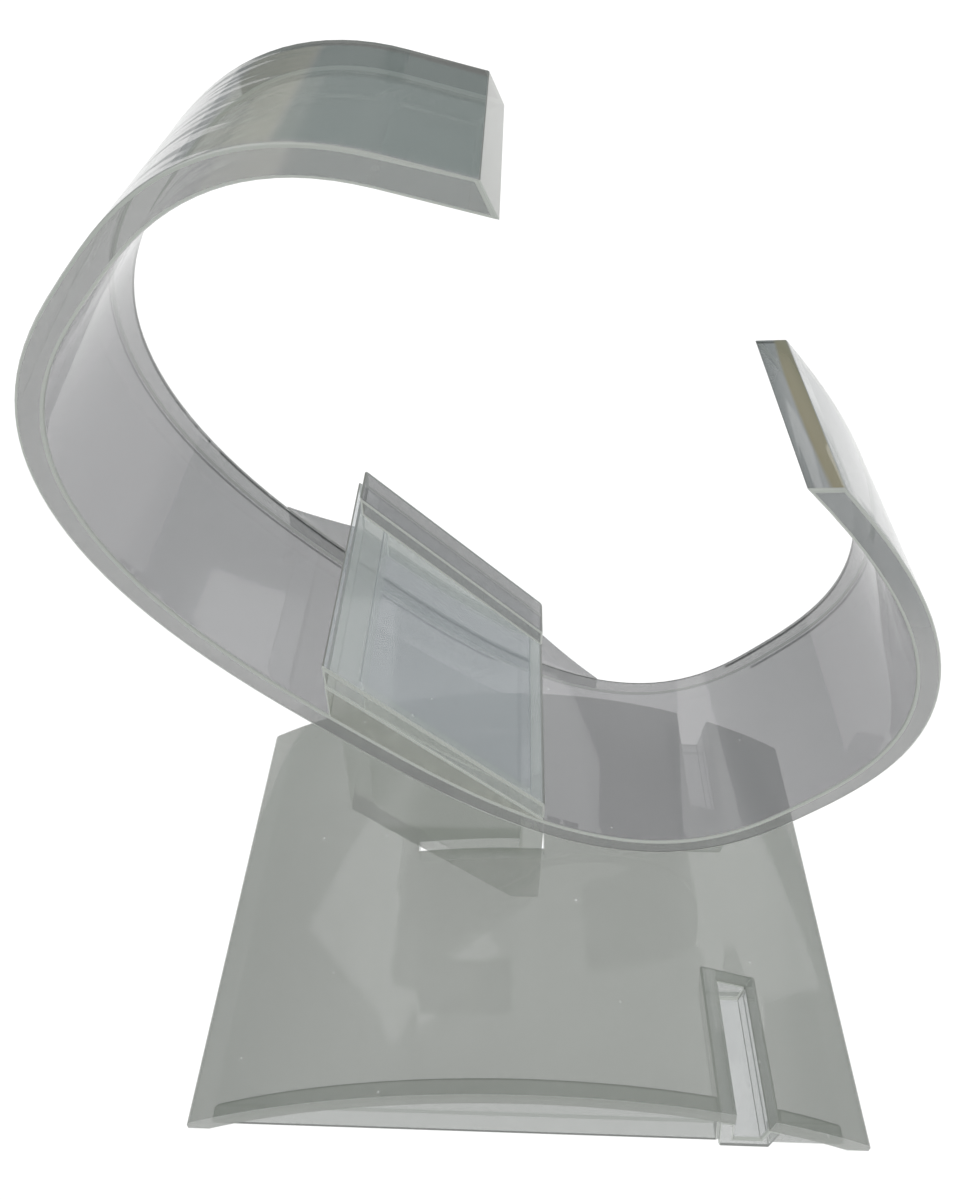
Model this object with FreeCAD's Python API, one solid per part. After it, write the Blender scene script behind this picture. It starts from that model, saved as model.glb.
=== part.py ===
import FreeCAD, Part
import math
import os

# Display stand for a wristwatch or bracelet, in millimetres.
# A low arched base lies on the floor (Z = 0). A C-shaped ring unit drops into it from above.
# +Z is up, +X is to the right and -Y is the front. The ring's axis lies along Y.
# The base is drawn round X = Y = 0; the whole stand is then centred before it is written.

V = FreeCAD.Vector
FAR = 200.0

# Arched base
BASE_HALF_WIDTH = 28.5
BASE_FRONT = -20.7
BASE_REAR = 20.7
BASE_HEIGHT = 9.5
SIDE_EDGE_HEIGHT = 1.0
SHOULDER_RADIUS = 0.8
ROOF_WALL = 1.8

# Front panel, set back a little under the roof's front edge
PANEL_SET_BACK = 0.4
PANEL_WALL = 1.6

# Troughs: open above and at the base's end, closed at their inner end
TROUGH_X = 18.2
TROUGH_LENGTH = 12.0
TROUGH_FLOOR = 1.6
TROUGH_HALF_WIDTH_LOW = 1.1
TROUGH_WALL = 1.2
TROUGH_FLARE = 0.13

# C-shaped band: a rounded oval, leaning to the right. BAND_LEAN is the slope of the saddle
# and of the frame it is measured in; the oval itself leans slightly less.
BAND_CENTRE_X = -1.4
BAND_CENTRE_Z = 40.6
BAND_LEAN = 44.0
BAND_OVAL_LEAN = 42.5
BAND_HALF_LENGTH = 34.4
BAND_HALF_HEIGHT = 20.1
BAND_SQUARENESS = 2.72
BAND_WALL = 1.8
BAND_FRONT = 1.6
BAND_REAR = 21.6
BAND_OUTLINE_POINTS = 56

# The band's two ends. The left one runs straight on from the oval, to a slanted end face.
LEFT_ARM_ANGLE = 149.0
LEFT_ARM_LENGTH = 6.8
LEFT_END_SLANT = 1.5
RIGHT_END_ANGLE = 73.0
RIGHT_END_SLANT = 45.0

# Saddle: a hollow block with upright walls and a top plate parallel to the band's straight side.
# It overhangs the band's rear edge.
SADDLE_LEFT = -16.9
SADDLE_RIGHT = 1.3
SADDLE_REAR = 26.0
SADDLE_TOP = -15.9
SADDLE_PLATE_WALL = 1.6
SADDLE_LEFT_WALL = 2.4
SADDLE_RIGHT_WALL = 1.3
SADDLE_FRONT_WALL = 2.8
SADDLE_REAR_WALL = 1.6

# Stop bar along the rear of the saddle's top
STOP_LEFT = -16.2
STOP_FRONT = 21.6
STOP_RISE = 1.4

# Tab that widens the band behind the saddle and carries its overhang
TAB_FLARE = 6.1

# Post under the band, standing in the base's slot
POST_LEFT = -16.2
POST_REAR = 17.0
POST_WALL = 1.8
POST_CUT = -29.0
POST_TOE = 0.3
SLOT_CLEARANCE = 0.2
SLOT_LEFT = -10.3


def prism(points, front, rear):
    """A solid with a straight-sided outline in X and Z, running from front to rear along Y."""
    corners = [V(x, front, z) for x, z in points]
    outline = Part.makePolygon(corners + corners[:1])
    return Part.Face(outline).extrude(V(0, rear - front, 0))


def block(left, right, front, rear, low, high):
    """An upright rectangular block."""
    return Part.makeBox(right - left, rear - front, high - low, V(left, front, low))


def lean(shape):
    """Turns a shape from the band's own frame into its place on the stand."""
    placed = shape.copy()
    placed.rotate(V(0, 0, 0), V(0, 1, 0), BAND_LEAN)
    placed.translate(V(BAND_CENTRE_X, 0, BAND_CENTRE_Z))
    return placed


def slab(low, high):
    """Everything between two planes parallel to the saddle's top."""
    return lean(block(-FAR, FAR, -FAR, FAR, low, high))


def arch_radius():
    """Radius of the roof's outer arc, from its width and its rise."""
    rise = BASE_HEIGHT - SIDE_EDGE_HEIGHT
    return (BASE_HALF_WIDTH ** 2 + rise ** 2) / (2 * rise)


def under_roof():
    """The round space below the roof, from front to rear, above the floor."""
    inner = arch_radius() - ROOF_WALL
    axis_z = BASE_HEIGHT - arch_radius()
    round_space = Part.makeCylinder(inner, 2 * FAR, V(0, -FAR, axis_z), V(0, 1, 0))
    return round_space.common(block(-FAR, FAR, -FAR, FAR, 0, FAR))


def trough_outline(half_width_low, low):
    """A trough's flared outline from a given height up past the roof."""
    high = BASE_HEIGHT + 2
    half_width_high = half_width_low + TROUGH_FLARE * (high - low)
    return [
        (TROUGH_X - half_width_low, low),
        (TROUGH_X + half_width_low, low),
        (TROUGH_X + half_width_high, high),
        (TROUGH_X - half_width_high, high),
    ]


def trough_space(front, rear):
    """The open space inside a trough."""
    return prism(trough_outline(TROUGH_HALF_WIDTH_LOW, TROUGH_FLOOR), front, rear)


def trough_envelope(front, rear):
    """The outside of a trough's walls."""
    spread = TROUGH_FLARE * TROUGH_FLOOR
    return prism(trough_outline(TROUGH_HALF_WIDTH_LOW + TROUGH_WALL - spread, 0), front, rear)


def make_front_trough():
    end = BASE_FRONT + TROUGH_LENGTH
    walls = trough_envelope(BASE_FRONT, end + TROUGH_WALL)
    return walls.cut(trough_space(BASE_FRONT - 1, end)).common(under_roof())


def make_rear_trough():
    end = BASE_REAR - TROUGH_LENGTH
    walls = trough_envelope(end - TROUGH_WALL, BASE_REAR)
    return walls.cut(trough_space(end, BASE_REAR + 1)).common(under_roof())


def make_arched_roof():
    high = V(0, BASE_FRONT, BASE_HEIGHT)
    left_foot = V(-BASE_HALF_WIDTH, BASE_FRONT, 0)
    left_shoulder = V(-BASE_HALF_WIDTH, BASE_FRONT, SIDE_EDGE_HEIGHT)
    right_shoulder = V(BASE_HALF_WIDTH, BASE_FRONT, SIDE_EDGE_HEIGHT)
    right_foot = V(BASE_HALF_WIDTH, BASE_FRONT, 0)
    outline = Part.Wire([
        Part.makeLine(left_foot, left_shoulder),
        Part.Arc(left_shoulder, high, right_shoulder).toShape(),
        Part.makeLine(right_shoulder, right_foot),
        Part.makeLine(right_foot, left_foot),
    ])
    roof = Part.Face(outline).extrude(V(0, BASE_REAR - BASE_FRONT, 0))
    shoulders = [edge for edge in roof.Edges if is_shoulder(edge)]
    roof = roof.makeFillet(SHOULDER_RADIUS, shoulders)
    roof = roof.cut(under_roof())
    roof = roof.cut(trough_space(BASE_FRONT - 1, BASE_FRONT + TROUGH_LENGTH))
    roof = roof.cut(trough_space(BASE_REAR - TROUGH_LENGTH, BASE_REAR + 1))
    return roof.cut(post_slot())


def is_shoulder(edge):
    """True for the two long edges where the arc meets the upright side edges."""
    middle = edge.CenterOfMass
    at_side = abs(abs(middle.x) - BASE_HALF_WIDTH) < 0.01
    return at_side and abs(middle.z - SIDE_EDGE_HEIGHT) < 0.01 and edge.Length > 10


def post_slot():
    """The three-sided slot through the roof that the post stands in, round a tongue of the roof."""
    front = BAND_FRONT - SLOT_CLEARANCE
    rear = POST_REAR + SLOT_CLEARANCE
    right = SADDLE_RIGHT + SLOT_CLEARANCE
    slot_width = POST_WALL + 2 * SLOT_CLEARANCE
    around = block(SLOT_LEFT, right, front, rear, -1, BASE_HEIGHT + 1)
    tongue = block(
        SLOT_LEFT - 1,
        right - slot_width,
        front + slot_width,
        rear - slot_width,
        -1,
        BASE_HEIGHT + 1,
    )
    return around.cut(tongue)


def front_panel_between(left, right):
    """The stretch of the front panel between two X positions, up to the front trough."""
    front = BASE_FRONT + PANEL_SET_BACK
    panel = block(left, right, front, front + PANEL_WALL, 0, BASE_HEIGHT)
    return panel.common(under_roof()).cut(trough_envelope(BASE_FRONT - 1, BASE_REAR))


def make_front_panel():
    return front_panel_between(-BASE_HALF_WIDTH, TROUGH_X)


def make_front_panel_corner():
    return front_panel_between(TROUGH_X, BASE_HALF_WIDTH)


def oval_normal(angle):
    """The oval's radius and its outward direction at an angle from its long axis."""
    along = math.cos(angle)
    across = math.sin(angle)
    reach_along = abs(along / BAND_HALF_LENGTH) ** BAND_SQUARENESS
    reach_across = abs(across / BAND_HALF_HEIGHT) ** BAND_SQUARENESS
    radius = (reach_along + reach_across) ** (-1 / BAND_SQUARENESS)
    normal = V(
        math.copysign(reach_along / max(abs(along), 1e-9), along),
        0,
        math.copysign(reach_across / max(abs(across), 1e-9), across),
    )
    return radius, normal.normalize()


def oval_point(angle, offset):
    """A point of the oval at an angle from its long axis, pushed out by an offset."""
    radius, normal = oval_normal(angle)
    return V(radius * math.cos(angle), 0, radius * math.sin(angle)) + normal * offset


def place_oval(solid):
    """Turns a shape from the oval's own frame into its place on the stand."""
    solid.rotate(V(0, 0, 0), V(0, 1, 0), BAND_OVAL_LEAN)
    solid.translate(V(BAND_CENTRE_X, 0, BAND_CENTRE_Z))
    return solid


def oval(offset, front, rear):
    """The band's rounded oval, pushed out by an offset, as a solid along Y."""
    steps = range(BAND_OUTLINE_POINTS)
    angles = [2 * math.pi * step / BAND_OUTLINE_POINTS for step in steps]
    curve = Part.BSplineCurve()
    curve.interpolate([oval_point(angle, offset) for angle in angles], PeriodicFlag=True)
    face = Part.Face(Part.Wire(curve.toShape()))
    face.translate(V(0, front, 0))
    return place_oval(face.extrude(V(0, rear - front, 0)))


def oval_prism(points, front, rear):
    """A straight-sided solid along Y, drawn in the oval's own frame."""
    return place_oval(prism([(point.x, point.z) for point in points], front, rear))


def make_left_arm():
    """The straight end of the band, on the upper left of the mouth."""
    angle = math.radians(LEFT_ARM_ANGLE)
    normal = oval_normal(angle)[1]
    forward = V(normal.z, 0, -normal.x)
    inner = oval_point(angle, 0)
    outer = oval_point(angle, BAND_WALL)
    return oval_prism([
        inner,
        inner + forward * LEFT_ARM_LENGTH,
        outer + forward * (LEFT_ARM_LENGTH - LEFT_END_SLANT),
        outer,
    ], BAND_FRONT, BAND_REAR)


def make_mouth():
    """The gap between the oval's two ends, as a solid to cut away."""
    left = math.radians(LEFT_ARM_ANGLE)
    left_normal = oval_normal(left)[1]
    right = oval_point(math.radians(RIGHT_END_ANGLE), 0)
    slant = math.radians(RIGHT_END_SLANT)
    right_direction = V(math.cos(slant), 0, math.sin(slant))
    return oval_prism([
        oval_point(left, 0) - left_normal * 4,
        oval_point(left, 0) + left_normal * 12,
        right + right_direction * 12,
        right - right_direction * 4,
    ], BAND_FRONT - 1, BAND_REAR + 1)


def make_c_band():
    ring = oval(BAND_WALL, BAND_FRONT, BAND_REAR).cut(oval(0, BAND_FRONT - 1, BAND_REAR + 1))
    return ring.cut(make_mouth()).fuse(make_left_arm()).removeSplitter()


def make_saddle_plate():
    column = block(SADDLE_LEFT, SADDLE_RIGHT, BAND_FRONT, SADDLE_REAR, -FAR, FAR)
    return column.common(slab(SADDLE_TOP - SADDLE_PLATE_WALL, SADDLE_TOP))


def make_saddle_frame():
    column = block(SADDLE_LEFT, SADDLE_RIGHT, BAND_FRONT, SADDLE_REAR, -FAR, FAR)
    hollow = block(
        SADDLE_LEFT + SADDLE_LEFT_WALL,
        SADDLE_RIGHT - SADDLE_RIGHT_WALL,
        BAND_FRONT + SADDLE_FRONT_WALL,
        SADDLE_REAR - SADDLE_REAR_WALL,
        -FAR, FAR,
    )
    above_band = oval(0, BAND_FRONT - 1, SADDLE_REAR + 1)
    below_plate = slab(-FAR, SADDLE_TOP - SADDLE_PLATE_WALL)
    return column.cut(hollow).common(above_band).common(below_plate)


def make_stop_bar():
    column = block(STOP_LEFT, SADDLE_RIGHT, STOP_FRONT, SADDLE_REAR, -FAR, FAR)
    return column.common(slab(SADDLE_TOP, SADDLE_TOP + STOP_RISE))


def make_rear_tab():
    shell = oval(BAND_WALL, BAND_REAR, SADDLE_REAR).cut(oval(0, BAND_REAR - 1, SADDLE_REAR + 1))
    plan = Part.makePolygon([
        V(SADDLE_LEFT - TAB_FLARE, BAND_REAR, 0),
        V(SADDLE_RIGHT + TAB_FLARE, BAND_REAR, 0),
        V(SADDLE_RIGHT, SADDLE_REAR, 0),
        V(SADDLE_LEFT, SADDLE_REAR, 0),
        V(SADDLE_LEFT - TAB_FLARE, BAND_REAR, 0),
    ])
    return shell.common(Part.Face(plan).extrude(V(0, 0, BAND_CENTRE_Z)))


def make_post():
    column = block(POST_LEFT, SADDLE_RIGHT, BAND_FRONT, POST_REAR, POST_TOE, BAND_CENTRE_Z)
    hollow = block(
        POST_LEFT + POST_WALL,
        SADDLE_RIGHT - POST_WALL,
        BAND_FRONT + POST_WALL,
        POST_REAR - POST_WALL,
        -FAR, FAR,
    )
    below_band = slab(POST_CUT, 0)
    return column.cut(hollow).common(below_band).cut(oval(BAND_WALL, -FAR, FAR))


NODES = {
    "arched_roof": make_arched_roof,
    "front_panel": make_front_panel,
    "front_panel_corner": make_front_panel_corner,
    "front_trough": make_front_trough,
    "rear_trough": make_rear_trough,
    "c_band": make_c_band,
    "saddle_plate": make_saddle_plate,
    "saddle_frame": make_saddle_frame,
    "stop_bar": make_stop_bar,
    "rear_tab": make_rear_tab,
    "post": make_post,
}


def centred(shapes):
    """Moves the shapes so that the middle of the stand's footprint box is at the origin."""
    box = Part.makeCompound(list(shapes.values())).optimalBoundingBox()
    for shape in shapes.values():
        shape.translate(V(-box.Center.x, -box.Center.y, 0))
    return shapes


os.makedirs("parts", exist_ok=True)
for name, shape in centred({name: make() for name, make in NODES.items()}).items():
    shape.exportStep("parts/" + name + ".step")
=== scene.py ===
import math
from collections import namedtuple

import bpy
from mathutils import Matrix, Vector

# A clear plastic display stand: a low arched base and a C-shaped ring unit with a sloping saddle.
# Every node keeps its CAD shape and gets clear plastic and rounded edges.

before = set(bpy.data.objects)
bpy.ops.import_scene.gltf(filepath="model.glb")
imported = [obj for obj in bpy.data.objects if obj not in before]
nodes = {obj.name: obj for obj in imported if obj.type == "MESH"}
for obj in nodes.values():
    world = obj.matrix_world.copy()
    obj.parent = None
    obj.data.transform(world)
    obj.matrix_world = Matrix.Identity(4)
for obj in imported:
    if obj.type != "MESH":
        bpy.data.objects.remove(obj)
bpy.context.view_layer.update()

MM = 0.001

# Camera, in the object's frame
CAMERA_PLACE = Vector((-1.5, -53.05, 89.4)) * MM
CAMERA_RIGHT = Vector((0.9995, 0.0314, 0.0))
CAMERA_UP = Vector((-0.0214, 0.6813, 0.7317))
CAMERA_LENS = 29.54
CAMERA_SENSOR = 36.0

# Light from the surroundings: a sky that pales upwards, between two heights of the direction
ZENITH = (1.0, 1.0, 1.0)
HORIZON = (0.23, 0.26, 0.255)
HORIZON_TOP = 0.15
ZENITH_START = 0.75
BACKDROP = (0.85, 0.86, 0.86)
WORLD_STRENGTH = 1.12

# The two lamps, in metres and watts
Lamp = namedtuple("Lamp", "name place size power")
LAMPS = (
    Lamp("key", place=(-0.30, 0.30, 0.50), size=0.40, power=0.75),
    Lamp("fill", place=(0.40, 0.26, 0.24), size=0.30, power=0.40),
)
LAMP_TARGET = (0.0, 0.0, 0.03)

FLOOR_COLOUR = (0.96, 0.955, 0.955, 1.0)
FLOOR_ROUGHNESS = 0.8
FLOOR_SIZE = 4.0
FLOOR_GAP = 0.02 * MM

# Rounded edges of the mouldings
EDGE_ROUND = 0.22 * MM
EDGE_ANGLE = math.radians(35)
WELD_GAP = 0.001 * MM
# The rounded edges' colours: a painted highlight on the near side and painted shade on the far side
RIM_NEAR_PAINTED_HIGHLIGHT = (0.48, 0.50, 0.47)
RIM_FAR_PAINTED_SHADE = (0.01, 0.011, 0.01)
RIM_ROUGHNESS = 0.2
RIM_GLOSS = 0.25

# The plastic's optics: refractive index, coat, and the haze that a slanted view adds
PLASTIC_IOR = 1.49
COAT_ROUGHNESS = 0.02
SLANT_HAZE = 0.3
SLANT_POWER = 3.0

# Wear: soft clouds of tint, fine scratches and bright dust
CLOUD_SCALE = 38.0
CLOUD_SPREAD = 0.08
SCRATCH_SCALE = 260.0
SCRATCH_STRETCH = (1.0, 14.0, 1.0)
SCRATCH_TURN = math.radians(25)
SCRATCH_DEPTH = 0.05 * MM
SCRATCH_STRENGTH = 0.006
SMOOTH = 0.08
SCRATCHED = 0.13
DUST_SCALE = 190.0
DUST_COLOUR = (0.75, 0.75, 0.75)
DUST_HAZE = 0.6
DUST_CORE = 0.01
DUST_EDGE = 0.035

# Shallow ripples that run round the ring's upper left bend
RIPPLE_SCALE = 420.0
RIPPLE_STRETCH = (0.12, 1.0, 0.12)
RIPPLE_DEPTH = 0.5 * MM
RIPPLE_STRENGTH = 0.8
RIPPLE_SOFT = 3.0

# A patch is a part of the plastic with its own tint and haze: a box of the object in millimetres,
# with a soft step at its sides. With a facing, only the faces that look that way belong to it.
Patch = namedtuple("Patch", "box facing tint haze soft")
FAR = 100.0
BEHIND_NEAR_EDGE = (-0.6, FAR)
LEFT_ARM = (66, FAR)

# Painted reflection: a yellowish tone across the ring's upper arm
ARM_YELLOW_PAINTED_REFLECTION = Patch(
    box={"X": (-18.5, -13.9), "Y": BEHIND_NEAR_EDGE, "Z": LEFT_ARM},
    facing=None, tint=(0.185, 0.188, 0.135), haze=0.66, soft=0.4,
)
# Painted reflection: a dark teal tone over the ring's upper arm
ARM_TEAL_PAINTED_REFLECTION = Patch(
    box={"X": (-13.8, 0), "Y": BEHIND_NEAR_EDGE, "Z": LEFT_ARM},
    facing=None, tint=(0.070, 0.102, 0.094), haze=0.76, soft=0.25,
)
# Painted shade: a near-black tone along the upper arm's far edge
ARM_FAR_EDGE_PAINTED_SHADE = Patch(
    box={"X": (-20, 0), "Y": (17.4, FAR), "Z": LEFT_ARM},
    facing=None, tint=(0.035, 0.030, 0.024), haze=0.85, soft=0.1,
)
# Painted reflection: a darker teal tone on the ring's right arm
RIGHT_ARM_PAINTED_REFLECTION = Patch(
    box={"X": (14, FAR), "Y": (-4, FAR), "Z": (40, 60)},
    facing=None, tint=(0.170, 0.186, 0.188), haze=0.76, soft=4.0,
)
# Painted shade: a thin near-black line along the ring's far inner edge
FAR_LINE_PAINTED_SHADE = Patch(
    box={"Y": (18.25, 18.55), "Z": (14, 64)},
    facing=None, tint=(0.010, 0.010, 0.010), haze=0.9, soft=0.06,
)
LEFT_TIP = Patch(
    box={"X": (-6, 2), "Z": (60, FAR)},
    facing=(0.90, 0.0, 0.44), tint=(0.10, 0.11, 0.08), haze=0.85, soft=0.2,
)
RIGHT_END = Patch(
    box={"X": (14, FAR), "Z": (50.7, 52)},
    facing=(0.0, 0.0, 1.0), tint=(0.165, 0.148, 0.078), haze=0.95, soft=0.1,
)
RING_PATCHES = (ARM_YELLOW_PAINTED_REFLECTION, ARM_TEAL_PAINTED_REFLECTION, ARM_FAR_EDGE_PAINTED_SHADE, RIGHT_ARM_PAINTED_REFLECTION, FAR_LINE_PAINTED_SHADE, LEFT_TIP, RIGHT_END)
RIPPLE_BOX = {"X": (-FAR, -14), "Z": (62, FAR)}

# The post at the height of the base's slot: its near wall, what lies behind, its near right corner.
# Their grey haze is painted shade that darkens the slot.
POST_FRONT_PAINTED_SHADE = Patch(
    box={"X": (-FAR, 3), "Y": (-FAR, 0), "Z": (8.2, 12.4)},
    facing=None, tint=(0.23, 0.25, 0.22), haze=0.60, soft=0.6,
)
POST_IN_SLOT_PAINTED_SHADE = Patch(
    box={"X": (-FAR, 3), "Y": (0, FAR), "Z": (5.4, 9.6)},
    facing=None, tint=(0.23, 0.25, 0.22), haze=0.60, soft=0.6,
)
POST_CORNER_PAINTED_SHADE = Patch(
    box={"X": (0.6, FAR), "Y": (-FAR, 2), "Z": (9.2, 16)},
    facing=None, tint=(0.29, 0.31, 0.28), haze=0.82, soft=0.05,
)
# The near left stretch of the post's slanted lower edge
POST_FOOT = Patch(
    box={"X": (-FAR, -5.5), "Y": (-FAR, 0.9), "Z": (-FAR, 20)},
    facing=(0.69, 0.0, 0.72), tint=(0.13, 0.13, 0.13), haze=0.4, soft=0.1,
)
POST_PATCHES = (POST_FRONT_PAINTED_SHADE, POST_IN_SLOT_PAINTED_SHADE, POST_CORNER_PAINTED_SHADE, POST_FOOT)


def node_of(tree, kind, **settings):
    """A new shader node with its plain settings."""
    node = tree.nodes.new(kind)
    for name, value in settings.items():
        setattr(node, name, value)
    return node


def ramp_between(tree, source, low, high, to_low=0.0, to_high=1.0):
    """Turns a value that runs from low to high into one from to_low to to_high."""
    node = node_of(tree, "ShaderNodeMapRange")
    node.inputs["From Min"].default_value = low
    node.inputs["From Max"].default_value = high
    node.inputs["To Min"].default_value = to_low
    node.inputs["To Max"].default_value = to_high
    tree.links.new(source, node.inputs["Value"])
    return node.outputs["Result"]


def mix_colours(tree, factor, first, second):
    """Mixes two colours, each given as three numbers or as another node's output."""
    node = node_of(tree, "ShaderNodeMix", data_type="RGBA")
    tree.links.new(factor, node.inputs["Factor"])
    for socket, colour in (("A", first), ("B", second)):
        if isinstance(colour, tuple):
            node.inputs[socket].default_value = (*colour, 1.0)
        else:
            tree.links.new(colour, node.inputs[socket])
    return node.outputs["Result"]


def mix_values(tree, factor, first, second):
    """Mixes a node's output with a plain number."""
    node = node_of(tree, "ShaderNodeMix", data_type="FLOAT")
    tree.links.new(factor, node.inputs["Factor"])
    tree.links.new(first, node.inputs["A"])
    node.inputs["B"].default_value = second
    return node.outputs["Result"]


def math_node(tree, operation, *values):
    """One operation on plain numbers and other nodes' outputs."""
    node = node_of(tree, "ShaderNodeMath", operation=operation)
    for socket, value in zip(node.inputs, values):
        if isinstance(value, (int, float)):
            socket.default_value = value
        else:
            tree.links.new(value, socket)
    return node.outputs[0]


def axes_of(tree, vector):
    """A vector's X, Y and Z."""
    node = node_of(tree, "ShaderNodeSeparateXYZ")
    tree.links.new(vector, node.inputs["Vector"])
    return node.outputs


def noise(tree, source, scale, detail):
    node = node_of(tree, "ShaderNodeTexNoise")
    node.inputs["Scale"].default_value = scale
    node.inputs["Detail"].default_value = detail
    tree.links.new(source, node.inputs["Vector"])
    return node.outputs["Fac"]


def streaks(tree, place, stretch, turn, scale, detail):
    """Noise drawn out into streaks: stretch scales the three axes after a turn about Y."""
    mapping = node_of(tree, "ShaderNodeMapping")
    mapping.inputs["Scale"].default_value = stretch
    mapping.inputs["Rotation"].default_value = (0.0, turn, 0.0)
    tree.links.new(place, mapping.inputs["Vector"])
    return noise(tree, mapping.outputs["Vector"], scale, detail)


def bumps_of(tree, height, strength, depth):
    """The bump node that tilts the surface by a height."""
    bumps = node_of(tree, "ShaderNodeBump")
    bumps.inputs["Strength"].default_value = strength
    bumps.inputs["Distance"].default_value = depth
    tree.links.new(height, bumps.inputs["Height"])
    return bumps


def between(tree, value, low, high, soft):
    """1 while the value is between low and high, and 0 outside, over a soft step at each end."""
    rise = ramp_between(tree, value, low - soft, low + soft)
    fall = ramp_between(tree, value, high - soft, high + soft, 1.0, 0.0)
    return math_node(tree, "MULTIPLY", rise, fall)


def zone(tree, place, box, soft):
    """1 inside a box of the object and 0 outside. Along an axis it leaves out, the box has no end."""
    axes = axes_of(tree, place)
    total = None
    for axis, limits in box.items():
        low, high = limits
        inside = between(tree, axes[axis], low * MM, high * MM, soft * MM)
        total = inside if total is None else math_node(tree, "MULTIPLY", total, inside)
    return total


def looking_along(tree, normal, direction):
    """1 on the faces that look along a direction or straight away from it, and 0 elsewhere."""
    dot = node_of(tree, "ShaderNodeVectorMath", operation="DOT_PRODUCT")
    dot.inputs[1].default_value = Vector(direction).normalized()
    tree.links.new(normal, dot.inputs[0])
    return ramp_between(tree, math_node(tree, "ABSOLUTE", dot.outputs["Value"]), 0.93, 0.97)


def cloudy_tint(tree, place, normal, tint, wall_tint):
    """The plastic's tint in soft clouds, and another tint on the faces to the front and back."""
    cloud = ramp_between(tree, noise(tree, place, CLOUD_SCALE, 3.0), 0.3, 0.7)
    pale = tuple((1 + CLOUD_SPREAD) * channel for channel in tint)
    deep = tuple((1 - CLOUD_SPREAD) * channel for channel in tint)
    wall = ramp_between(tree, math_node(tree, "ABSOLUTE", axes_of(tree, normal)["Y"]), 0.6, 0.9)
    return mix_colours(tree, wall, mix_colours(tree, cloud, deep, pale), wall_tint)


def slanted_haze(tree, haze):
    """The haze seen straight on, and more of it where the view is slanted."""
    slant = node_of(tree, "ShaderNodeLayerWeight")
    slant.inputs["Blend"].default_value = 0.5
    slanted = math_node(tree, "POWER", slant.outputs["Facing"], SLANT_POWER)
    return math_node(tree, "MULTIPLY_ADD", slanted, SLANT_HAZE, haze)


def patched(tree, place, normal, patches, colour, cover):
    """The colour and the haze with the patches laid over them, in their order."""
    for patch in patches:
        inside = zone(tree, place, patch.box, patch.soft)
        if patch.facing:
            looking = looking_along(tree, normal, patch.facing)
            inside = math_node(tree, "MULTIPLY", inside, looking)
        colour = mix_colours(tree, inside, colour, patch.tint)
        cover = mix_values(tree, inside, cover, patch.haze)
    return colour, cover


def dusty(tree, place, colour, cover):
    """The colour and the haze with bright specks of dust on them."""
    dust = node_of(tree, "ShaderNodeTexVoronoi")
    dust.inputs["Scale"].default_value = DUST_SCALE
    tree.links.new(place, dust.inputs["Vector"])
    speck = ramp_between(tree, dust.outputs["Distance"], DUST_CORE, DUST_EDGE, DUST_HAZE, 0.0)
    colour = mix_colours(tree, speck, colour, DUST_COLOUR)
    cover = math_node(tree, "MAXIMUM", cover, speck)
    return colour, cover


def add_scratches(tree, place, shader):
    """Fine scratches in the gloss and in the surface. Gives back the surface's bumps."""
    scratches = streaks(tree, place, SCRATCH_STRETCH, SCRATCH_TURN, SCRATCH_SCALE, 4.0)
    roughness = ramp_between(tree, scratches, 0.45, 0.75, SMOOTH, SCRATCHED)
    tree.links.new(roughness, shader.inputs["Roughness"])
    bumps = bumps_of(tree, scratches, SCRATCH_STRENGTH, SCRATCH_DEPTH)
    tree.links.new(bumps.outputs["Normal"], shader.inputs["Normal"])
    return bumps


def add_ripples(tree, place, box, bumps):
    """Long shallow ripples inside a box of the object, under the scratches' bumps."""
    ripples = streaks(tree, place, RIPPLE_STRETCH, 0.0, RIPPLE_SCALE, 1.0)
    height = math_node(tree, "MULTIPLY", ripples, zone(tree, place, box, RIPPLE_SOFT))
    swell = bumps_of(tree, height, RIPPLE_STRENGTH, RIPPLE_DEPTH)
    tree.links.new(swell.outputs["Normal"], bumps.inputs["Normal"])


def clear_plastic(name, tint, wall_tint, haze, coat, patches=(), ripple_box=None):
    """Clear moulded plastic. haze is how much one face, seen straight on, hides of what is behind."""
    material = bpy.data.materials.new(name)
    material.use_nodes = True
    tree = material.node_tree
    shader = tree.nodes["Principled BSDF"]
    shader.inputs["IOR"].default_value = PLASTIC_IOR
    shader.inputs["Coat Weight"].default_value = coat
    shader.inputs["Coat Roughness"].default_value = COAT_ROUGHNESS

    place = node_of(tree, "ShaderNodeTexCoord").outputs["Object"]
    normal = node_of(tree, "ShaderNodeNewGeometry").outputs["Normal"]
    colour = cloudy_tint(tree, place, normal, tint, wall_tint)
    cover = slanted_haze(tree, haze)
    colour, cover = patched(tree, place, normal, patches, colour, cover)
    colour, cover = dusty(tree, place, colour, cover)
    tree.links.new(colour, shader.inputs["Base Color"])
    tree.links.new(cover, shader.inputs["Alpha"])
    bumps = add_scratches(tree, place, shader)
    if ripple_box:
        add_ripples(tree, place, ripple_box, bumps)
    return material


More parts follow.
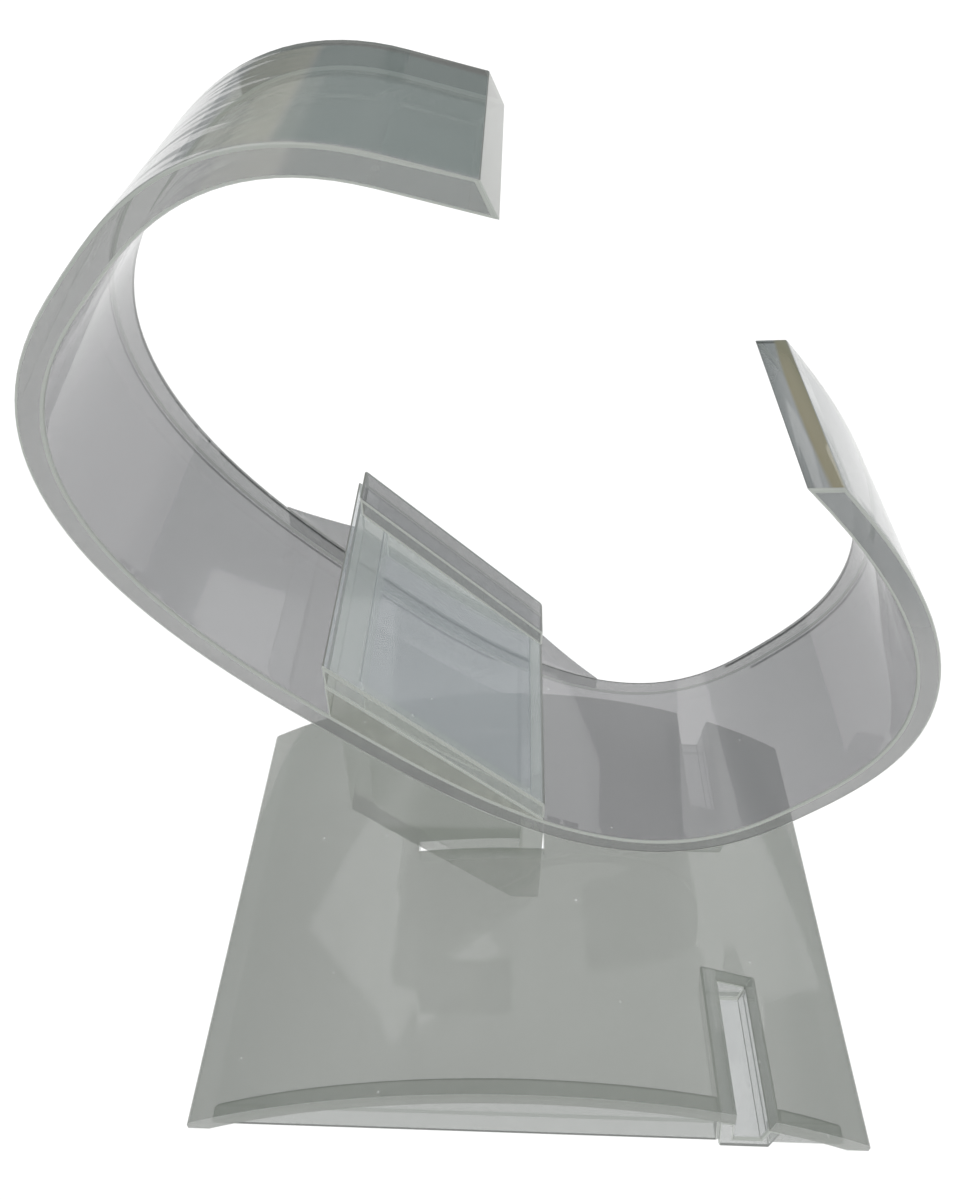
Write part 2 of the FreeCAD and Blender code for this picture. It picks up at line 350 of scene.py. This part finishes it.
def rim_plastic_with_painted_light():
    """The mouldings' rounded edges, with painted light: a dark line of painted shade on a far side and
    a bright painted highlight on a near side.
    """
    material = bpy.data.materials.new("rim_plastic_with_painted_light")
    material.use_nodes = True
    tree = material.node_tree
    shader = tree.nodes["Principled BSDF"]
    shader.inputs["Roughness"].default_value = RIM_ROUGHNESS
    shader.inputs["IOR"].default_value = PLASTIC_IOR
    shader.inputs["Specular IOR Level"].default_value = RIM_GLOSS
    normal = node_of(tree, "ShaderNodeNewGeometry").outputs["Normal"]
    side = ramp_between(tree, axes_of(tree, normal)["Y"], -0.5, 0.3)
    tree.links.new(mix_colours(tree, side, RIM_NEAR_PAINTED_HIGHLIGHT, RIM_FAR_PAINTED_SHADE), shader.inputs["Base Color"])
    return material


def base_plastic():
    return clear_plastic("base_plastic", (0.170, 0.184, 0.163), (0.21, 0.23, 0.20), haze=0.60, coat=0.1)


def panel_plastic():
    return clear_plastic("panel_plastic", (0.20, 0.22, 0.20), (0.22, 0.24, 0.22), haze=0.50, coat=0.2)


def trough_plastic():
    return clear_plastic("trough_plastic", (0.25, 0.27, 0.265), (0.22, 0.24, 0.22), haze=0.45, coat=0.5)


def ring_plastic():
    return clear_plastic(
        "ring_plastic", (0.180, 0.180, 0.188), (0.245, 0.252, 0.242), haze=0.58, coat=0.5,
        patches=RING_PATCHES, ripple_box=RIPPLE_BOX,
    )


def saddle_plastic():
    return clear_plastic("saddle_plastic", (0.34, 0.36, 0.33), (0.34, 0.36, 0.30), haze=0.50, coat=0.4)


def plate_plastic():
    return clear_plastic("plate_plastic", (0.36, 0.40, 0.42), (0.34, 0.36, 0.30), haze=0.26, coat=0.4)


def post_plastic():
    return clear_plastic(
        "post_plastic", (0.29, 0.31, 0.28), (0.29, 0.31, 0.28), haze=0.25, coat=0.0,
        patches=POST_PATCHES,
    )


# Which nodes each plastic is for, and the nodes whose edges are no different from their faces
PLASTICS = (
    (base_plastic, ("arched_roof",)),
    (panel_plastic, ("front_panel", "front_panel_corner")),
    (trough_plastic, ("front_trough", "rear_trough")),
    (ring_plastic, ("c_band", "rear_tab", "stop_bar")),
    (saddle_plastic, ("saddle_frame",)),
    (plate_plastic, ("saddle_plate",)),
    (post_plastic, ("post",)),
)
PLAIN_EDGED = ("post",)


def dress_node(node, plastic, rim):
    """Gives a moulding its plastic and its rounded edges, and lets soft light through it."""
    node.data.materials.clear()
    node.data.materials.append(plastic)
    node.data.materials.append(rim)
    weld = node.modifiers.new("closed surface", "WELD")
    weld.merge_threshold = WELD_GAP
    bevel = node.modifiers.new("rounded edges", "BEVEL")
    bevel.width = EDGE_ROUND
    bevel.segments = 2
    bevel.limit_method = "ANGLE"
    bevel.angle_limit = EDGE_ANGLE
    bevel.material = 1
    node.visible_diffuse = False
    node.visible_shadow = False


def dress_nodes():
    rim = rim_plastic_with_painted_light()
    for make_plastic, names in PLASTICS:
        plastic = make_plastic()
        for name in names:
            dress_node(nodes[name], plastic, plastic if name in PLAIN_EDGED else rim)


def add_floor():
    bpy.ops.mesh.primitive_plane_add(size=FLOOR_SIZE, location=(0, 0, -FLOOR_GAP))
    floor = bpy.context.object
    floor.name = "floor"
    material = bpy.data.materials.new("floor")
    material.use_nodes = True
    shader = material.node_tree.nodes["Principled BSDF"]
    shader.inputs["Base Color"].default_value = FLOOR_COLOUR
    shader.inputs["Roughness"].default_value = FLOOR_ROUGHNESS
    floor.data.materials.append(material)


def add_world():
    """Soft white light from above that falls off to grey-green, and a plain pale backdrop."""
    world = bpy.data.worlds.new("studio")
    world.use_nodes = True
    tree = world.node_tree
    direction = node_of(tree, "ShaderNodeTexCoord").outputs["Generated"]
    height = ramp_between(tree, axes_of(tree, direction)["Z"], HORIZON_TOP, ZENITH_START)
    sky = mix_colours(tree, height, HORIZON, ZENITH)
    seen = node_of(tree, "ShaderNodeLightPath").outputs["Is Camera Ray"]
    background = tree.nodes["Background"]
    tree.links.new(mix_colours(tree, seen, sky, BACKDROP), background.inputs["Color"])
    background.inputs["Strength"].default_value = WORLD_STRENGTH
    bpy.context.scene.world = world


def add_lamp(lamp):
    """A square area light that shines on the middle of the stand."""
    light = bpy.data.lights.new(lamp.name, "AREA")
    light.size = lamp.size
    light.energy = lamp.power
    holder = bpy.data.objects.new(lamp.name, light)
    bpy.context.scene.collection.objects.link(holder)
    place = Vector(lamp.place)
    aim = (Vector(LAMP_TARGET) - place).to_track_quat("-Z", "Y")
    holder.matrix_world = Matrix.Translation(place) @ aim.to_matrix().to_4x4()


def add_camera():
    camera = bpy.data.objects.new("camera", bpy.data.cameras.new("camera"))
    bpy.context.scene.collection.objects.link(camera)
    right = CAMERA_RIGHT.normalized()
    back = right.cross(CAMERA_UP).normalized()
    up = back.cross(right)
    turn = Matrix((right, up, back)).transposed().to_4x4()
    camera.matrix_world = Matrix.Translation(CAMERA_PLACE) @ turn
    camera.data.sensor_fit = "VERTICAL"
    camera.data.sensor_height = CAMERA_SENSOR
    camera.data.lens = CAMERA_LENS
    camera.data.clip_start = 1 * MM
    bpy.context.scene.camera = camera


dress_nodes()
add_floor()
add_world()
for lamp in LAMPS:
    add_lamp(lamp)
add_camera()
bpy.context.scene.view_settings.view_transform = "Standard"
